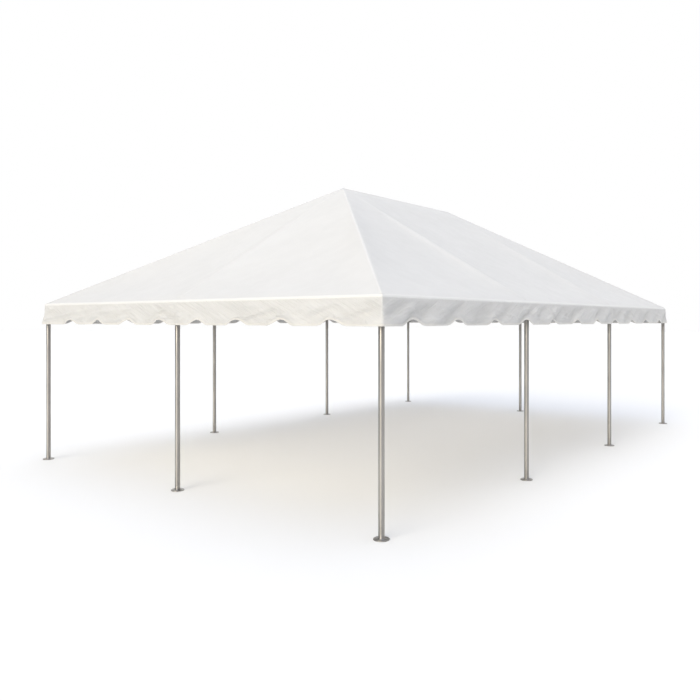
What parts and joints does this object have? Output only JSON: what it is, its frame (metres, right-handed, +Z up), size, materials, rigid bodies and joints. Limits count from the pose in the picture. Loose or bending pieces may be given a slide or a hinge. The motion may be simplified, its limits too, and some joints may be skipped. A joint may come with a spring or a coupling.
{
  "type": "marquee tent",
  "caption": "Open-sided hip-roof frame marquee on round legs with foot plates, a short ridge with two peaks, tube rafters and a scalloped valance.",
  "frame": {"origin": "on the ground at the centre of the plan", "axes": "+Z up, +Y along the ridge towards the back end, +X to the right-hand long side"},
  "size_m": [6.251, 9.299, 4.0644],
  "materials": {
    "leg_aluminium": "brushed",
    "frame_aluminium": "mill finish, satin",
    "fitting_steel": "galvanised, satin",
    "canopy_vinyl": "white coated polyester, soft sheen"
  },
  "bodies": {
    "root": {"leg_front_left": "leg_aluminium", "leg_front_middle": "leg_aluminium", "leg_front_right": "leg_aluminium", "leg_right_1": "leg_aluminium", "leg_right_2": "leg_aluminium", "leg_back_right": "leg_aluminium", "leg_back_middle": "leg_aluminium", "leg_back_left": "leg_aluminium", "leg_left_2": "leg_aluminium", "leg_left_1": "leg_aluminium", "eave_tube_front_left": "frame_aluminium", "eave_tube_front_right": "frame_aluminium", "eave_tube_right_front": "frame_aluminium", "eave_tube_right_middle": "frame_aluminium", "eave_tube_right_back": "frame_aluminium", "eave_tube_back_right": "frame_aluminium", "eave_tube_back_left": "frame_aluminium", "eave_tube_left_back": "frame_aluminium", "eave_tube_left_middle": "frame_aluminium", "eave_tube_left_front": "frame_aluminium", "hip_rafter_front_left": "frame_aluminium", "corner_fitting_front_left": "fitting_steel", "end_rafter_front": "frame_aluminium", "end_fitting_front": "fitting_steel", "hip_rafter_front_right": "frame_aluminium", "corner_fitting_front_right": "fitting_steel", "side_rafter_right_1": "frame_aluminium", "side_fitting_right_1": "fitting_steel", "side_rafter_right_2": "frame_aluminium", "side_fitting_right_2": "fitting_steel", "hip_rafter_back_right": "frame_aluminium", "corner_fitting_back_right": "fitting_steel", "end_rafter_back": "frame_aluminium", "end_fitting_back": "fitting_steel", "hip_rafter_back_left": "frame_aluminium", "corner_fitting_back_left": "fitting_steel", "side_rafter_left_2": "frame_aluminium", "side_fitting_left_2": "fitting_steel", "side_rafter_left_1": "frame_aluminium", "side_fitting_left_1": "fitting_steel", "ridge_tube": "frame_aluminium", "crown_fitting_front": "fitting_steel", "crown_fitting_back": "fitting_steel", "roof_panel_front": "canopy_vinyl", "valance_front": "canopy_vinyl", "roof_panel_back": "canopy_vinyl", "valance_back": "canopy_vinyl", "roof_panel_left": "canopy_vinyl", "valance_left": "canopy_vinyl", "roof_panel_right": "canopy_vinyl", "valance_right": "canopy_vinyl"}
  },
  "joints": []
}
